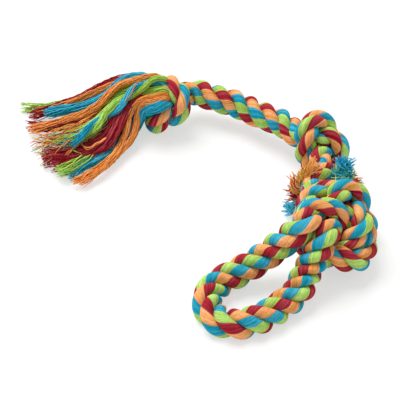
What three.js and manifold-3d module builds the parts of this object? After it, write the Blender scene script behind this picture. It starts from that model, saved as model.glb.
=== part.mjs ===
import * as THREE from 'three';
import { mergeVertices } from 'three/addons/utils/BufferGeometryUtils.js';
import Module from 'manifold-3d';

// A rope toy for a dog, lying on the floor: one three-strand rope that is frayed out to a tassel,
// tied in two single overhand knots and one doubled knot, and turned back as a handle.
// Lengths are in millimetres and Z is up. Places are in rope diameters, so the toy grows with its rope.

const ROPE = 20; // diameter of the rope where it lies free
const KNOT_ROPE = 0.8 * ROPE; // diameter of the rope in a knot, where nothing presses on it
const NECK_ROPE = 0.82 * ROPE; // diameter of the stretched rope between the two near knots
const ROOT_ROPE = 0.9 * ROPE; // diameter of the rope where it opens to the tassel
const SEAM = 0.3; // clearance between one piece of the rope and the next
const PRESS_GAP = 0.8; // clearance between two passes that press on each other in a knot
const LOCK = [0.23 * ROPE, 0.34 * ROPE]; // diameter of one lock of the tassel, at its root and its tip
const TUFT = [0.185 * ROPE, 0.24 * ROPE]; // diameter of one tuft of the short frayed tail, the same way
const ROOT_LENGTH = 0.25 * ROPE; // rope past the tassel's knot before its locks part
const OPENING = 0.7 * ROPE; // rope at each end of a knot over which it opens to the diameter that it meets
const LOCK_RINGS = [0.62, 1.72]; // radii of the two rings of locks in the rope's section, in lock diameters
const ROPE_SIDES = 12;
const KNOT_SIDES = 10;
const YARN_SIDES = 6;
const LOCK_SECTIONS = 22;
const TUFT_SECTIONS = 10;
const ROPE_STEP = 0.35 * ROPE; // spacing of the sections of a free rope
const PASS_STEP = 0.06 * ROPE; // spacing of the points of a rope that another one presses on
const SPAN = 30; // points of a smooth path between two of its places

// Where each knot lies: its centre, the way its rope comes in, its turn about the rope in degrees, the
// spacing of its passes in rope diameters, and how much shorter along the rope it is drawn.
const TASSEL_KNOT = {
  centre: [-0.9, 5.25, 0.99], toward: [1, 0.28, 0], roll: 185, spacing: 0.55, draw: 0.78,
};
const MIDDLE_KNOT = {
  centre: [4.79, 2.7, 1.06], toward: [-0.45, 0.9, 0], roll: 180, spacing: 0.6, draw: 0.8,
};
const HANDLE_KNOT = {
  centre: [5.12, -2.05, 1.29], toward: [0.1, 0.95, -0.3], roll: 215, spacing: 0.69, draw: 0.74,
};

// The middle of the toy on the floor.
const ORIGIN = [0.08, -0.078, 0];

// Knots as they are tied loose, in pass spacings: the size of the curve, how far its passes lift over each
// other, how far its ends reach and on which level, and where its middle lies off the line of its ends.
const SINGLE = { size: 0.8, lift: 1.0, reach: 2.6, level: -0.75, middle: 0.8 };
const DOUBLED = { size: 1.6, lift: 1.9, reach: 3.0, level: -1.2, middle: 1.05 };
const DOUBLED_SIDES = [0.55, -0.55]; // the two ropes of the doubled knot, side by side

// Places that the free rope passes through.
const BODY_ROUTE = [[1.0, 5.64, 1.0], [1.75, 5.36, 0.95], [2.5, 4.8, 0.95]];
const NECK_ROUTE = [[4.7, 0.33, 1.42]];
const HANDLE_ROUTE = [
  [2.72, -3.38, 1.1], [1.84, -3.72, 0.66], [1.02, -4.16, 0.45], [0.62, -4.97, 0.4], [0.97, -5.88, 0.4],
  [1.66, -6.1, 0.4], [2.46, -5.78, 0.4], [3.2, -5.16, 0.43], [3.72, -4.66, 0.57], [3.98, -4.15, 0.86],
];
const LEG_CUT = 3; // points of the doubled knot that the handle's legs take the place of
const LEG_LENGTH = 0.9 * ROPE; // rope of each handle leg that bends where it leaves the knot
const TAIL_END = [5.13, 0.18, 0.55];
const TAIL_WAY = [0.15, 1, -0.1];

const COLOURS = { maroon: 0x971c30, orange: 0xf59650, blue: 0x0f8cb0, lime: 0x96c84b };

// Locks of the tassel: the colour of each, where it starts in the rope's section (ring 0 is the inner three,
// ring 1 the outer nine, at an angle from the back round over the top) and the places it runs through.
const LOCKS = [
  ['orange', 1, 180, [[-2.5, 4.6, 1.15], [-2.75, 3.2, 0.6], [-4.27, 1.13, 0.2]]],
  ['orange', 1, 60, [[-2.75, 5.3, 1.5], [-4.2, 4.9, 0.8], [-6.4, 4.09, 0.3]]],
  ['orange', 0, 90, [[-2.7, 5.0, 1.3], [-4.2, 4.0, 0.9], [-6.0, 3.1, 0.5]]],
  ['blue', 1, 220, [[-2.45, 4.7, 0.75], [-2.8, 3.5, 0.3], [-3.82, 2.1, 0.2]]],
  ['blue', 1, 100, [[-2.7, 4.9, 1.65], [-3.6, 4.0, 1.2], [-4.9, 2.9, 0.7]]],
  ['blue', 0, 330, [[-2.75, 5.25, 1.05], [-4.2, 5.0, 0.4], [-6.06, 4.6, 0.2]]],
  ['maroon', 1, 140, [[-2.6, 4.75, 1.45], [-3.2, 3.5, 0.95], [-4.94, 2.1, 0.55]]],
  ['maroon', 1, 20, [[-2.75, 5.5, 1.2], [-4.2, 5.5, 0.6], [-6.23, 5.2, 0.25]]],
  ['maroon', 0, 210, [[-2.65, 4.9, 0.95], [-3.9, 3.8, 0.4], [-5.48, 2.82, 0.2]]],
  ['lime', 1, 260, [[-2.6, 4.8, 0.55], [-3.4, 3.4, 0.25], [-4.7, 1.95, 0.2]]],
  ['lime', 1, 300, [[-2.7, 5.05, 0.6], [-4.1, 4.4, 0.25], [-5.7, 3.66, 0.2]]],
  ['lime', 1, 340, [[-2.75, 5.55, 0.75], [-4.3, 5.9, 0.25], [-6.47, 5.85, 0.2]]],
];

// Tufts of the frayed tail, which pass on both sides of the rope above them.
const TUFTS = [
  ['orange', 1, 140, [[4.55, 0.8, 0.7], [4.0, 0.55, 1.0], [4.2, 0.45, 2.0]]],
  ['orange', 0, 90, [[4.55, 0.75, 0.5], [3.9, 0.5, 0.9], [3.95, 0.6, 1.5]]],
  ['orange', 1, 180, [[4.5, 0.6, 0.5], [3.8, 0.4, 0.8], [3.7, 0.6, 1.2]]],
  ['maroon', 0, 210, [[4.4, 0.6, 0.3], [3.64, 0.67, 0.8]]],
  ['maroon', 1, 220, [[4.4, 0.4, 0.3], [3.57, 0.41, 0.6]]],
  ['blue', 1, 260, [[4.4, 0.2, 0.2], [3.44, -0.19, 0.4]]],
  ['blue', 1, 60, [[5.55, 0.6, 1.3], [5.42, 0.43, 2.3]]],
  ['blue', 1, 20, [[5.6, 0.6, 1.0], [5.7, 0.57, 2.0]]],
  ['lime', 1, 100, [[5.5, 0.38, 1.2], [5.3, 0.08, 2.0]]],
  ['lime', 0, 330, [[5.6, 0.5, 0.9], [5.57, 0.26, 1.8]]],
  ['maroon', 1, 340, [[5.7, 0.6, 0.7], [6.01, 0.8, 1.2]]],
  ['lime', 1, 300, [[5.6, 0.6, 0.4], [6.25, 0.7, 0.7]]],
];

const vector = ([x, y, z]) => new THREE.Vector3(x, y, z);
const inRopes = (place) => vector(place).sub(vector(ORIGIN)).multiplyScalar(ROPE);

// The length of a path.
function pathLength(points) {
  let sum = 0;
  for (let i = 1; i < points.length; i += 1) sum += points[i].distanceTo(points[i - 1]);
  return sum;
}

// The same path with its points evenly spaced.
function evenPoints(points, count) {
  const step = pathLength(points) / (count - 1);
  const even = [points[0].clone()];
  let run = 0;
  let at = 1;
  while (even.length < count - 1) {
    const part = points[at].distanceTo(points[at - 1]);
    const wanted = even.length * step;
    if (run + part >= wanted) {
      even.push(points[at - 1].clone().lerp(points[at], (wanted - run) / part));
    } else {
      run += part;
      at += 1;
    }
  }
  even.push(points[points.length - 1].clone());
  return even;
}

// The place at a length along a path.
function placeAt(path, run) {
  let before = 0;
  for (let i = 1; i < path.length; i += 1) {
    const part = path[i].distanceTo(path[i - 1]);
    if (before + part >= run || i === path.length - 1) {
      return path[i - 1].clone().lerp(path[i], (run - before) / part);
    }
    before += part;
  }
  return path[path.length - 1].clone();
}

// The stretch of a path between two lengths.
function stretch(path, from, to) {
  const count = Math.round((to - from) / PASS_STEP);
  return Array.from({ length: count }, (_, i) => placeAt(path, from + ((to - from) * i) / (count - 1)));
}

// The direction of a path at a length along it.
function wayAt(path, run) {
  const reach = 0.05 * ROPE;
  const whole = pathLength(path);
  return placeAt(path, Math.min(run + reach, whole)).sub(placeAt(path, Math.max(run - reach, 0))).normalize();
}

// A smooth path through the points that starts and ends in the given directions.
function smoothPath(points, startWay, endWay) {
  const last = points.length - 1;
  const slopes = points.map((p, i) => {
    if (i === 0) return startWay.clone().setLength(points[1].distanceTo(p));
    if (i === last) return endWay.clone().setLength(p.distanceTo(points[i - 1]));
    return points[i + 1].clone().sub(points[i - 1]).multiplyScalar(0.5);
  });
  const path = [];
  for (let i = 0; i < last; i += 1) {
    for (let k = 0; k < SPAN; k += 1) {
      const t = k / SPAN;
      path.push(new THREE.Vector3()
        .addScaledVector(points[i], 2 * t ** 3 - 3 * t ** 2 + 1)
        .addScaledVector(slopes[i], t ** 3 - 2 * t ** 2 + t)
        .addScaledVector(points[i + 1], 3 * t ** 2 - 2 * t ** 3)
        .addScaledVector(slopes[i + 1], t ** 3 - t ** 2));
    }
  }
  path.push(points[last].clone());
  return path;
}

// A loose overhand knot in pass spacings: a trefoil curve opened at its lowest lobe, with the two ends
// led out along X. The side shifts it off its line, for two ropes that are tied together.
function looseKnot({ size, lift, reach, level }, side) {
  const open = 0.45;
  const lead = 0.8;
  const count = 150;
  const points = [[reach, side, 0], [reach - lead, side, 0]].map(vector);
  for (let i = 0; i < count; i += 1) {
    const t = Math.PI + open + ((2 * Math.PI - 2 * open) * i) / (count - 1);
    const wayX = Math.cos(t) + 4 * Math.cos(2 * t);
    const wayY = 4 * Math.sin(2 * t) - Math.sin(t);
    const way = Math.hypot(wayX, wayY);
    points.push(new THREE.Vector3(
      size * (Math.sin(t) + 2 * Math.sin(2 * t)) - (side * wayY) / way,
      size * (Math.cos(t) - 2 * Math.cos(2 * t)) + (side * wayX) / way - level,
      -lift * Math.sin(3 * t),
    ));
  }
  points.push(...[[lead - reach, side, 0], [-reach, side, 0]].map(vector));
  return points;
}

// Draws loose paths tight: each path shortens, and points that come nearer than one spacing push apart.
// Close along the same path the limit is the chord of the tightest bend. Points at the ends are held.
function drawTight(loosePaths) {
  const step = 0.4;
  const rounds = 800;
  const pull = 0.9;
  const push = 0.6;
  const bend = 0.55;
  const near = 1.7;
  const held = 3;
  let paths = loosePaths.map((p) => evenPoints(p, Math.round(pathLength(p) / step) + 1));
  let pairs = [];
  for (let round = 0; round < rounds; round += 1) {
    const draw = pull * Math.min(1, 4 * (1 - round / rounds));
    paths = paths.map((path) => {
      const moved = path.map((p, i) => {
        if (i < held || i >= path.length - held) return p.clone();
        return p.clone().lerp(path[i - 1].clone().add(path[i + 1]).multiplyScalar(0.5), draw);
      });
      if (round % 10 !== 9) return moved;
      const even = evenPoints(moved, moved.length);
      return moved.map((p, i) => (i < held || i >= path.length - held ? p : even[i]));
    });
    const all = [];
    paths.forEach((path, owner) => {
      let run = 0;
      path.forEach((p, i) => {
        if (i) run += p.distanceTo(path[i - 1]);
        all.push({ p, owner, run, free: i >= held && i < path.length - held });
      });
    });
    if (round % 10 === 0) {
      pairs = [];
      for (let i = 0; i < all.length; i += 1) {
        for (let j = i + 1; j < all.length; j += 1) {
          if (all[i].p.distanceTo(all[j].p) < near) pairs.push([i, j]);
        }
      }
    }
    for (let repeat = 0; repeat < 3; repeat += 1) {
      const moves = all.map(() => ({ by: new THREE.Vector3(), hits: 0 }));
      pairs.forEach(([i, j]) => {
        const along = all[i].owner === all[j].owner ? Math.abs(all[i].run - all[j].run) : Infinity;
        const chord = along < Math.PI * bend ? 2 * bend * Math.sin(along / (2 * bend)) : 1;
        const apart = all[i].p.clone().sub(all[j].p);
        const short = Math.min(chord, 1) - apart.length();
        if (short <= 0) return;
        apart.setLength(short);
        moves[i].by.add(apart);
        moves[j].by.sub(apart);
        moves[i].hits += 1;
        moves[j].hits += 1;
      });
      all.forEach((point, i) => {
        if (point.free && moves[i].hits) point.p.addScaledVector(moves[i].by, push / moves[i].hits);
      });
    }
  }
  return paths;
}

// The matrix that carries a knot from pass spacings to its place on the floor.
function knotMatrix(place, middle) {
  const x = vector(place.toward).normalize();
  const up = new THREE.Vector3(0, 0, 1).addScaledVector(x, -x.z).normalize();
  const across = up.clone().cross(x);
  const roll = THREE.MathUtils.degToRad(place.roll);
  const y = across.multiplyScalar(Math.cos(roll)).addScaledVector(up, Math.sin(roll));
  const z = x.clone().cross(y);
  return new THREE.Matrix4().makeBasis(x, y, z)
    .setPosition(inRopes(place.centre))
    .scale(new THREE.Vector3(place.draw, 1, 1).multiplyScalar(place.spacing * ROPE))
    .multiply(new THREE.Matrix4().makeTranslation(0, -middle, 0));
}

// The direction in which a path leaves at its start or its end.
const outAtStart = (path) => path[0].clone().sub(path[1]).normalize();
const outAtEnd = (path) => path[path.length - 1].clone().sub(path[path.length - 2]).normalize();

// The last point of a path.
const lastOf = (path) => path[path.length - 1];

// The directions of a path at its points.
function waysOf(points) {
  return points.map((p, i) => {
    const next = points[Math.min(i + 1, points.length - 1)];
    return next.clone().sub(points[Math.max(i - 1, 0)]).normalize();
  });
}

// The directions round a path at each of its points, without a twist along it.
function rimsOf(ways, sides) {
  const side = new THREE.Vector3(0, 0, 1).cross(ways[0]);
  return ways.map((way) => {
    side.addScaledVector(way, -side.dot(way)).normalize();
    const over = way.clone().cross(side);
    return Array.from({ length: sides }, (_, k) => {
      const turn = (2 * Math.PI * (k + 0.5)) / sides;
      return side.clone().multiplyScalar(Math.cos(turn)).addScaledVector(over, Math.sin(turn));
    });
  });
}

// Radii that are lowered where one stands out over its neighbours along the tube and round it.
function eased(radii) {
  return radii.map((ring, i) => ring.map((radius, k) => {
    const sides = ring.length;
    const before = radii[Math.max(i - 1, 0)][k];
    const after = radii[Math.min(i + 1, radii.length - 1)][k];
    const round = ring[(k + 1) % sides] + ring[(k + sides - 1) % sides];
    return Math.min(radius, (2 * radius + before + after + round) / 6);
  }));
}

// A closed tube along a path, with a direction for each of its points and a radius for each direction
// round it.
function tube(points, ways, radiusAt, sides) {
  const easings = 3;
  const rims = rimsOf(ways, sides);
  let radii = rims.map((ring, i) => ring.map((out) => radiusAt(i, out)));
  for (let round = 0; round < easings; round += 1) radii = eased(radii);
  const positions = [];
  const faces = [];
  points.forEach((p, i) => rims[i].forEach((out, k) => {
    const rim = p.clone().addScaledVector(out, radii[i][k]);
    positions.push(rim.x, rim.y, rim.z);
    if (i === 0) return;
    const a = (i - 1) * sides + k;
    const b = (i - 1) * sides + ((k + 1) % sides);
    faces.push(a, b, a + sides, b, b + sides, a + sides);
  }));
  const end = (points.length - 1) * sides;
  for (let k = 1; k < sides - 1; k += 1) {
    faces.push(0, k + 1, k);
    faces.push(end, end + k, end + k + 1);
  }
  const geometry = new THREE.BufferGeometry();
  geometry.setAttribute('position', new THREE.Float32BufferAttribute(positions, 3));
  geometry.setIndex(faces);
  return geometry;
}

const wasm = await Module();
wasm.setup();

function asSolid(geometry) {
  return new wasm.Manifold(new wasm.Mesh({
    numProp: 3,
    vertProperties: new Float32Array(geometry.attributes.position.array),
    triVerts: new Uint32Array(geometry.index.array),
  }));
}

// The geometry with what lies below the floor cut away, so that the piece stands on a flat.
function cutFlat(geometry) {
  geometry.computeBoundingBox();
  const box = geometry.boundingBox;
  if (box.min.z >= 0) return geometry;
  const size = box.getSize(new THREE.Vector3()).addScalar(ROPE);
  const middle = box.getCenter(new THREE.Vector3());
  const floor = new THREE.BoxGeometry(size.x, size.y, size.z);
  floor.translate(middle.x, middle.y, -size.z / 2);
  floor.deleteAttribute('normal');
  floor.deleteAttribute('uv');
  const mesh = asSolid(geometry).subtract(asSolid(mergeVertices(floor))).getMesh();
  const cut = new THREE.BufferGeometry();
  cut.setAttribute('position', new THREE.Float32BufferAttribute(mesh.vertProperties, 3));
  cut.setIndex(Array.from(mesh.triVerts));
  return cut;
}

const part = new THREE.Group();

function addPiece(name, geometry, colour) {
  const material = new THREE.MeshStandardMaterial({ color: colour, roughness: 0.95 });
  const mesh = new THREE.Mesh(cutFlat(geometry), material);
  mesh.name = name;
  part.add(mesh);
}

// How far a rope reaches in a direction before it presses on other passes: half way to each of them, less
// the clearance. Close along the same rope only the inside of a bend stops it.
function pressedReach(p, out, passes, full) {
  let reach = full;
  passes.forEach(({ q, gap }) => {
    const apart = p.clone().sub(q);
    const facing = gap - out.dot(apart);
    if (facing > 0) reach = Math.min(reach, (apart.lengthSq() - gap * gap) / (2 * facing));
  });
  return reach;
}

// The points of paths that a rope presses on.
function passesOf(paths) {
  return paths.flatMap((path) => {
    const count = Math.round(pathLength(path) / PASS_STEP);
    return evenPoints(path, count).map((q) => ({ q, gap: PRESS_GAP }));
  });
}

// A rope along a path between two lengths, a seam short of them, with a diameter at each end.
// At an end of the path the face is square to the direction of the rope that it meets.
function addRope(name, path, from, to, diameters, endWays, neighbours, colour) {
  const count = Math.max(3, Math.round((to - from) / ROPE_STEP) + 1);
  const between = (a, b) => Array.from({ length: count }, (_, i) => a + ((b - a) * i) / (count - 1));
  const runs = between(from + SEAM, to - SEAM);
  const sizes = between(...diameters);
  const points = runs.map((run) => placeAt(path, run));
  const ways = runs.map((run) => wayAt(path, run));
  ways[0] = endWays[0] ?? wayAt(path, from);
  ways[count - 1] = endWays[1] ?? wayAt(path, to);
  const passes = passesOf(neighbours);
  const radiusAt = (i, out) => pressedReach(points[i], out, passes, sizes[i] / 2);
  addPiece(name, tube(points, ways, radiusAt, ROPE_SIDES), colour);
}

// The least distance between points of a knotted rope that lie further apart along it than a bend.
function leastGap(geometry, runs, bend) {
  const corners = geometry.getAttribute('position');
  const cornerAt = (_, i) => new THREE.Vector3().fromBufferAttribute(corners, i);
  const points = Array.from({ length: corners.count }, cornerAt);
  let least = Infinity;
  points.forEach((p, i) => points.forEach((q, j) => {
    const along = runs[Math.floor(j / KNOT_SIDES)] - runs[Math.floor(i / KNOT_SIDES)];
    if (along > bend) least = Math.min(least, p.distanceTo(q));
  }));
  return least;
}

// A knotted rope: its ends open to the ropes that they meet, and its passes press flat on each other and on
// the others, which are ropes tied with it.
function addKnot(name, path, place, others, diameters, colour) {
  const spacing = place.spacing * ROPE;
  const near = 0.25 * spacing;
  const bend = 1.75 * spacing;
  const length = pathLength(path);
  const count = Math.round(length / (0.42 * spacing)) + 1;
  const points = evenPoints(path, count);
  const runs = points.map((p, i) => (length * i) / (count - 1));
  const ways = waysOf(points);
  ways[0] = outAtStart(path).negate();
  ways[count - 1] = outAtEnd(path);
  const ownCount = Math.round(length / PASS_STEP);
  const own = evenPoints(path, ownCount).map((q, i) => ({ q, run: (length * i) / (ownCount - 1) }));
  const tied = passesOf(others);
  const passes = runs.map((run) => {
    const apart = own.filter((pass) => Math.abs(pass.run - run) > near);
    const gapAt = (pass) => (Math.abs(pass.run - run) < bend ? 0 : PRESS_GAP);
    return [...apart.map((pass) => ({ q: pass.q, gap: gapAt(pass) })), ...tied];
  });
  const full = runs.map((run) => {
    const start = Math.max(0, 1 - run / OPENING) * (diameters[0] - KNOT_ROPE);
    const end = Math.max(0, 1 - (length - run) / OPENING) * (diameters[1] - KNOT_ROPE);
    return (KNOT_ROPE + start + end) / 2;
  });
  const radiusAt = (i, out) => pressedReach(points[i], out, passes[i], full[i]);
  const geometry = tube(points, ways, radiusAt, KNOT_SIDES);
  console.log(name, 'least gap to itself', leastGap(geometry, runs, bend).toFixed(2), 'mm');
  addPiece(name, geometry, colour);
}

// Knots, drawn tight in pass spacings.
const NEAR_STEPS = 6; // steps of a knot's path at its end that a rope led on from it doesn't press on
const [single] = drawTight([looseKnot(SINGLE, 0)]);
const doubled = drawTight(DOUBLED_SIDES.map((side) => looseKnot(DOUBLED, side)));
const tasselMatrix = knotMatrix(TASSEL_KNOT, SINGLE.middle);
const middleMatrix = knotMatrix(MIDDLE_KNOT, SINGLE.middle);
const handleMatrix = knotMatrix(HANDLE_KNOT, DOUBLED.middle);
const carried = (path, matrix) => path.map((p) => p.clone().applyMatrix4(matrix));
const tasselPath = carried(single, tasselMatrix);
const middlePath = carried(single, middleMatrix);
const [returnPath, standingPath] = doubled.map((path) => carried(path, handleMatrix).slice(0, -LEG_CUT));

// Tassel knot, and the rope past it that opens to the tassel.
const rootWay = outAtEnd(tasselPath);
const rootPath = [lastOf(tasselPath), lastOf(tasselPath).clone().addScaledVector(rootWay, ROOT_LENGTH)];
const rootPasses = [tasselPath.slice(0, tasselPath.length - NEAR_STEPS)];
addKnot('tassel_knot', tasselPath, TASSEL_KNOT, [], [ROPE, KNOT_ROPE], COLOURS.lime);
addRope('tassel_root', rootPath, 0, pathLength(rootPath), [KNOT_ROPE, ROOT_ROPE], [rootWay, rootWay],
  rootPasses, COLOURS.orange);

// Body rope in two halves that meet where it bends.
const bodyWays = [outAtStart(tasselPath), outAtStart(middlePath).negate()];
const bodyPath = smoothPath([tasselPath[0], ...BODY_ROUTE.map(inRopes), middlePath[0]], ...bodyWays);
const bodyLength = pathLength(bodyPath);
const bodyMiddle = bodyLength / 2;
addRope('body_rope_1', bodyPath, 0, bodyMiddle, [ROPE, ROPE], [bodyWays[0], null], [], COLOURS.maroon);
addRope('body_rope_2', bodyPath, bodyMiddle, bodyLength, [ROPE, ROPE], [null, bodyWays[1]], [],
  COLOURS.orange);

// Middle knot, and the neck from it to the handle's knot, which passes over the tail.
addKnot('middle_knot', middlePath, MIDDLE_KNOT, [], [ROPE, NECK_ROPE], COLOURS.maroon);
const neckWays = [outAtEnd(middlePath), outAtStart(standingPath).negate()];
const neckPath = smoothPath([lastOf(middlePath), ...NECK_ROUTE.map(inRopes), standingPath[0]], ...neckWays);
const tailWays = [outAtStart(returnPath), vector(TAIL_WAY).normalize()];
const tailPath = smoothPath([returnPath[0], inRopes(TAIL_END)], ...tailWays);
addRope('neck_rope', neckPath, 0, pathLength(neckPath), [NECK_ROPE, NECK_ROPE], neckWays, [tailPath],
  COLOURS.blue);

// Handle, with a short leg at each end that bends where it leaves the knot.
const handleWays = [outAtEnd(standingPath), outAtEnd(returnPath).negate()];
const handleRoute = [lastOf(standingPath), ...HANDLE_ROUTE.map(inRopes), lastOf(returnPath)];
const handlePath = smoothPath(handleRoute, ...handleWays);
const handleLength = pathLength(handlePath);
const loopEnd = handleLength - LEG_LENGTH;
const firstLeg = stretch(handlePath, 0, 2 * LEG_LENGTH);
const lastLeg = stretch(handlePath, handleLength - 2 * LEG_LENGTH, handleLength);
addRope('handle_leg_1', handlePath, 0, LEG_LENGTH, [KNOT_ROPE, ROPE], [handleWays[0], null],
  [lastLeg, returnPath], COLOURS.orange);
addRope('handle_loop', handlePath, LEG_LENGTH, loopEnd, [ROPE, ROPE], [null, null],
  [standingPath.slice(0, -NEAR_STEPS)], COLOURS.blue);
addRope('handle_leg_2', handlePath, loopEnd, handleLength, [ROPE, KNOT_ROPE], [null, handleWays[1]],
  [firstLeg, standingPath], COLOURS.orange);

// The handle's knot: the rope that comes from the neck, and the same rope where it comes back to the tail.
addKnot('handle_knot_standing', standingPath, HANDLE_KNOT, [returnPath, lastLeg], [NECK_ROPE, KNOT_ROPE],
  COLOURS.lime);
addKnot('handle_knot_return', returnPath, HANDLE_KNOT, [standingPath, firstLeg], [KNOT_ROPE, KNOT_ROPE],
  COLOURS.maroon);

// The start of a lock in the section of the rope that it comes out of.
function lockStart(centre, way, ring, angle, diameter) {
  const back = new THREE.Vector3(0, 0, 1).cross(way).normalize().negate();
  const over = back.clone().cross(way);
  const radius = LOCK_RINGS[ring] * diameter;
  const turn = THREE.MathUtils.degToRad(angle);
  return centre.clone()
    .addScaledVector(back, radius * Math.cos(turn))
    .addScaledVector(over, radius * Math.sin(turn));
}

// Pushes the paths of a bundle apart to their diameters, keeping their shapes, their starts and the floor.
function spreadBundle(bundle, diameterAt, rounds) {
  const held = 3;
  const spare = 4 * SEAM;
  const rest = bundle.map((path) => path.map((p) => p.clone()));
  for (let round = 0; round < rounds; round += 1) {
    bundle.forEach((path, m) => bundle.slice(m + 1).forEach((other) => {
      path.forEach((p, i) => other.forEach((q, j) => {
        const spacing = (diameterAt(i) + diameterAt(j)) / 2 + spare;
        const apart = p.distanceToSquared(q);
        if (apart >= spacing * spacing) return;
        const push = p.clone().sub(q).setLength((spacing - Math.sqrt(apart)) / 2);
        p.add(push);
        q.sub(push);
      }));
    }));
    bundle.forEach((path, m) => {
      const shifts = path.map((p, i) => p.clone().sub(rest[m][i]));
      path.forEach((p, i) => {
        const before = shifts[Math.max(i - 1, 0)];
        const after = shifts[Math.min(i + 1, path.length - 1)];
        const shift = before.clone().add(after).multiplyScalar(0.25).addScaledVector(shifts[i], 0.5);
        p.copy(rest[m][i]).add(i < held ? new THREE.Vector3() : shift);
        p.z = Math.max(p.z, diameterAt(i) / 2 + SEAM);
      });
    });
  }
  return bundle;
}

// A bundle of locks that comes out of the end of a rope: each starts straight, then follows its route.
function addBundle(prefix, rows, end, way, diameters, sections) {
  const count = 2 * sections;
  const rounds = 200;
  const widen = (share) => diameters[0] + (diameters[1] - diameters[0]) * share;
  const paths = rows.map(([, ring, angle, route]) => {
    const start = lockStart(end, way, ring, angle, diameters[0] + SEAM);
    const points = [start, ...route.map(inRopes)];
    const last = points.length - 1;
    return evenPoints(smoothPath(points, way, points[last].clone().sub(points[last - 1])), count);
  });
  const made = {};
  spreadBundle(paths, (i) => widen(i / (count - 1)), rounds).forEach((path, m) => {
    const colour = rows[m][0];
    made[colour] = (made[colour] ?? 0) + 1;
    const points = evenPoints(path, sections);
    const ways = waysOf(points);
    ways[0] = way;
    const geometry = tube(points, ways, (i) => widen(i / (sections - 1)) / 2, YARN_SIDES);
    addPiece(`${prefix}_${colour}_${made[colour]}`, geometry, COLOURS[colour]);
  });
}

const locksStart = lastOf(rootPath).clone().addScaledVector(rootWay, SEAM);
addBundle('tassel', LOCKS, locksStart, rootWay, LOCK, LOCK_SECTIONS);

// Short tail of the rope that comes back through the handle's knot, frayed to tufts.
const tailPasses = [neckPath, standingPath, returnPath.slice(NEAR_STEPS)];
addRope('tail_rope', tailPath, 0, pathLength(tailPath), [KNOT_ROPE, KNOT_ROPE], tailWays, tailPasses,
  COLOURS.blue);
const tuftsStart = lastOf(tailPath).clone().addScaledVector(tailWays[1], SEAM);
addBundle('tail', TUFTS, tuftsStart, tailWays[1], TUFT, TUFT_SECTIONS);

export default part;
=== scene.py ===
import math

import bpy
import numpy as np
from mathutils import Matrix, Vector


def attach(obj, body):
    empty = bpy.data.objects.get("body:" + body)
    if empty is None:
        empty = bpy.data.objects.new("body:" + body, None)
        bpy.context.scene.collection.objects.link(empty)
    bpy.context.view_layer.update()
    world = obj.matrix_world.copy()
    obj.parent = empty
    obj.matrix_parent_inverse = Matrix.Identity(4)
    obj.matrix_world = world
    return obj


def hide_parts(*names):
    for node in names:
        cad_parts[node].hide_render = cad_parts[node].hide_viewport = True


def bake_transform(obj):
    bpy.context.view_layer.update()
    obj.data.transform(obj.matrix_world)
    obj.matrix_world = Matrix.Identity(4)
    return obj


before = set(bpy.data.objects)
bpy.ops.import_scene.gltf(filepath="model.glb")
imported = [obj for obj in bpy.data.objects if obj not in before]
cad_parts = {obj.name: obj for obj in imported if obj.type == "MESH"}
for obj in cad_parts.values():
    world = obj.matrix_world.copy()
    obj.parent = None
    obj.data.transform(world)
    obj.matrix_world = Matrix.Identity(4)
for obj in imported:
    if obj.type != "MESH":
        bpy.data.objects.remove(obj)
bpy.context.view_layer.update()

# A rope toy: one three-strand rope, frayed to a tassel, tied in three knots and turned back as a handle.
# Metres, Z up. Places are in rope diameters from ORIGIN.
RANDOM_SEED = 11
random = np.random.default_rng(RANDOM_SEED)
TURN = 2 * np.pi
ROPE = 0.020
ORIGIN = np.array([0.08, -0.078, 0.0])
KNOT_ROPE = 0.84 * ROPE  # diameter in a knot, where nothing presses on the rope
NECK_ROPE = 0.82 * ROPE  # diameter between the two near knots
ROOT_LENGTH = 0.25 * ROPE  # rope past the tassel's knot before its locks part

# The lay: three strands that turn one way, and the yarns in each strand that turn the other way.
LAY = 2.0 * ROPE
STRANDS = 3
STRAND_CENTRE = 0.275  # from the middle of the rope, in rope diameters, as the next two
STRAND_DEEP = 0.25
STRAND_WIDE = 0.285
YARN_TURNS = 2.18  # in one lay, against it
YARNS = 20  # in the outside of one strand, a quarter of them in each colour
YARN_COLUMNS = 4  # of the mesh in one yarn
YARN_RELIEF = 0.035
RING_STEP = 0.001
FLOOR_GAP = 0.0002

# Where a strand faces the camera: lengths along a stretch, each with the strands that have passed since the
# first one. Then the colour that faces it at the first length, counted in colours, and each strand's shift.
LAY_MARKS = {
    "body": [(0.017, 0), (0.058, 3), (0.074, 4)],
    "handle": [(0.153, 0), (0.191, 3), (0.221, 6)],
}
COLOUR_MARKS = {"body": (1.65, [0.0, -0.19, 0.52]), "handle": (1.85, [0.0, -0.5, -0.1])}

COLOURS = {
    "maroon": (0.445, 0.02, 0.04),
    "orange": (1.0, 0.42, 0.13),
    "blue": (0.016, 0.40, 0.58),
    "lime": (0.48, 0.76, 0.15),
}
# The loose yarns' colours have their own deeper orange and darker maroon. Their blue is brighter than the
# rope's, which is painted light against the shade among the packed yarns.
LOOSE_COLOURS = {
    "maroon": (0.40, 0.012, 0.026),
    "orange": (1.0, 0.36, 0.06),
    "blue": (0.016, 0.48, 0.68),
    "lime": (0.46, 0.78, 0.11),
}
# The tufts' colours: the loose yarns' colours made brighter and paler. This is painted light on tufts that
# lie in shade between the knots.
TUFT_PAINTED_LIGHT_COLOURS = {
    "maroon": (0.44, 0.014, 0.03),
    "orange": (1.0, 0.45, 0.085),
    "blue": (0.02, 0.56, 0.80),
    "lime": (0.52, 0.86, 0.16),
}
# How bright the dullest and the brightest yarns are, and how deep their colour is, as shares of the colour.
# The brightest yarns are the palest, a painted highlight, and the loose yarns reach brighter than the rope's,
# which is painted light against the shade among them.
ROPE_TONES = {"bright": (0.80, 1.15), "deep": (1.05, 0.90)}
LOOSE_TONES = {"bright": (0.68, 1.36), "deep": (1.06, 0.86)}

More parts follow.
